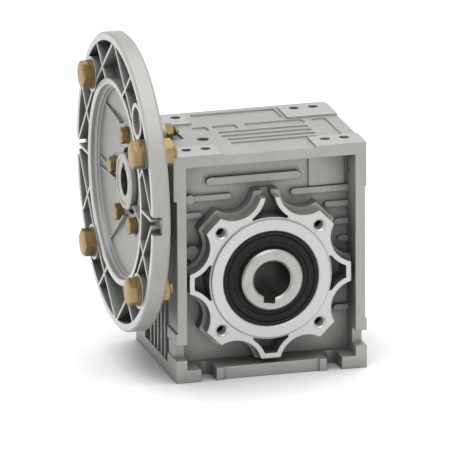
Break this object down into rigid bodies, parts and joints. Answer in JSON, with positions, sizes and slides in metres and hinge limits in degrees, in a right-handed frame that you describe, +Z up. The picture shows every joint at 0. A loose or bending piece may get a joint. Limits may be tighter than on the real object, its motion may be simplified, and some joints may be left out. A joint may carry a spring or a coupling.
{
  "type": "worm gear reducer",
  "caption": "Worm gear reducer with a hollow output shaft, star-shaped mounting faces and a round motor flange held by yellow-zinc bolts",
  "frame": {"origin": "middle of the hollow output shaft, halfway between its two ends", "axes": "+Y along the output shaft, towards the bolted cover; +Z up from the feet to the worm; +X away from the motor flange, along the worm"},
  "size_m": [0.1664, 0.2, 0.2272],
  "materials": {
    "cast_aluminium": "shot-blasted casting",
    "cast_aluminium_flange": "shot-blasted casting",
    "turned_steel": "turned and oiled",
    "ground_steel": "ground",
    "bearing_steel": "polished",
    "cage_steel": "pressed sheet",
    "bronze": "cut teeth",
    "black_rubber": "matt",
    "black_steel": "black oxide",
    "gasket_paper": "pressed fibre",
    "yellow_zinc_steel": "yellow zinc"
  },
  "bodies": {
    "housing": {"housing": "cast_aluminium", "output_cover": "cast_aluminium", "cover_screws": "black_steel", "cover_o_ring": "black_rubber", "front_outer_ring": "bearing_steel", "rear_outer_ring": "bearing_steel", "input_outer_ring": "bearing_steel", "tail_outer_ring": "bearing_steel", "front_seal": "black_rubber", "rear_seal": "black_rubber", "input_seal": "black_rubber", "input_circlip": "black_steel", "tail_circlip": "black_steel", "tail_cap": "black_rubber", "motor_flange": "cast_aluminium_flange", "flange_gasket": "gasket_paper", "flange_screws": "yellow_zinc_steel", "flange_washers": "yellow_zinc_steel", "flange_nut": "yellow_zinc_steel", "motor_bolts": "yellow_zinc_steel", "motor_washers": "yellow_zinc_steel", "motor_nuts": "yellow_zinc_steel", "oil_plug": "black_steel"},
    "output": {"output_shaft": "turned_steel", "wheel_rim": "bronze", "front_inner_ring": "bearing_steel", "rear_inner_ring": "bearing_steel"},
    "worm": {"worm_shaft": "turned_steel", "worm_thread": "ground_steel", "input_inner_ring": "bearing_steel", "tail_inner_ring": "bearing_steel"},
    "front_cage_set": {"front_cage": "cage_steel", "front_balls": "bearing_steel"},
    "rear_cage_set": {"rear_cage": "cage_steel", "rear_balls": "bearing_steel"},
    "input_cage_set": {"input_cage": "cage_steel", "input_balls": "bearing_steel"},
    "tail_cage_set": {"tail_cage": "cage_steel", "tail_balls": "bearing_steel"}
  },
  "joints": [
    {"name": "output_spin", "type": "hinge", "parent": "housing", "child": "output", "pos_m": [0, 0, 0], "axis": [0, 1, 0], "continuous": true},
    {"name": "worm_spin", "type": "hinge", "parent": "housing", "child": "worm", "pos_m": [0, 0, 0.06], "axis": [1, 0, 0], "continuous": true},
    {"name": "front_cage_spin", "type": "hinge", "parent": "housing", "child": "front_cage_set", "pos_m": [0, 0, 0], "axis": [0, 1, 0], "continuous": true},
    {"name": "rear_cage_spin", "type": "hinge", "parent": "housing", "child": "rear_cage_set", "pos_m": [0, 0, 0], "axis": [0, 1, 0], "continuous": true},
    {"name": "input_cage_spin", "type": "hinge", "parent": "housing", "child": "input_cage_set", "pos_m": [0, 0, 0.06], "axis": [1, 0, 0], "continuous": true},
    {"name": "tail_cage_spin", "type": "hinge", "parent": "housing", "child": "tail_cage_set", "pos_m": [0, 0, 0.06], "axis": [1, 0, 0], "continuous": true}
  ],
  "couplings": [
    {"joint": "worm_spin", "follows": "output_spin", "ratio": -30},
    {"joint": "front_cage_spin", "follows": "output_spin", "ratio": 0.4225},
    {"joint": "rear_cage_spin", "follows": "output_spin", "ratio": 0.4225},
    {"joint": "input_cage_spin", "follows": "output_spin", "ratio": -13.639},
    {"joint": "tail_cage_spin", "follows": "output_spin", "ratio": -11.252}
  ]
}
